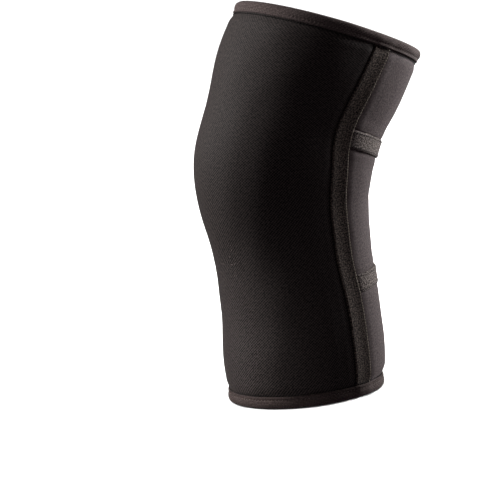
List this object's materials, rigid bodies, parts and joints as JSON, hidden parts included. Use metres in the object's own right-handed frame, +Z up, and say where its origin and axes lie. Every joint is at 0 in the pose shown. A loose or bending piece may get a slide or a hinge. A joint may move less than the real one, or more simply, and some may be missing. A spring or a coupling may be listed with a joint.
{
  "type": "knee sleeve",
  "caption": "Padded knee sleeve: a tube shaped for a slightly bent leg, with taped side seams, taped cross seams behind the knee and a bound hem at each end.",
  "frame": {"origin": "middle of the bounding box at its lowest level, on the surface that the lower hem stands on", "axes": "+Z up, -Y out of the kneecap, +X out of one side of the leg"},
  "size_m": [0.1404, 0.188, 0.3072],
  "materials": {
    "front_fabric": "matt black knit with a fine diagonal rib, bonded to foam rubber",
    "back_fabric": "smooth matt charcoal knit bonded to foam rubber",
    "tape_weave": "coarse brushed tape, warm charcoal, sewn along its edges",
    "binding_fabric": "soft folded black binding, sewn through near its edge",
    "thread": "thin grey sewing thread"
  },
  "bodies": {
    "root": {"front_panel": "front_fabric", "back_panel_lower": "back_fabric", "back_panel_middle": "back_fabric", "back_panel_upper": "back_fabric", "seam_tape_right": "tape_weave", "seam_tape_left": "tape_weave", "back_tape_lower": "tape_weave", "back_tape_upper": "tape_weave", "bottom_binding": "binding_fabric", "top_binding": "binding_fabric"}
  },
  "joints": []
}
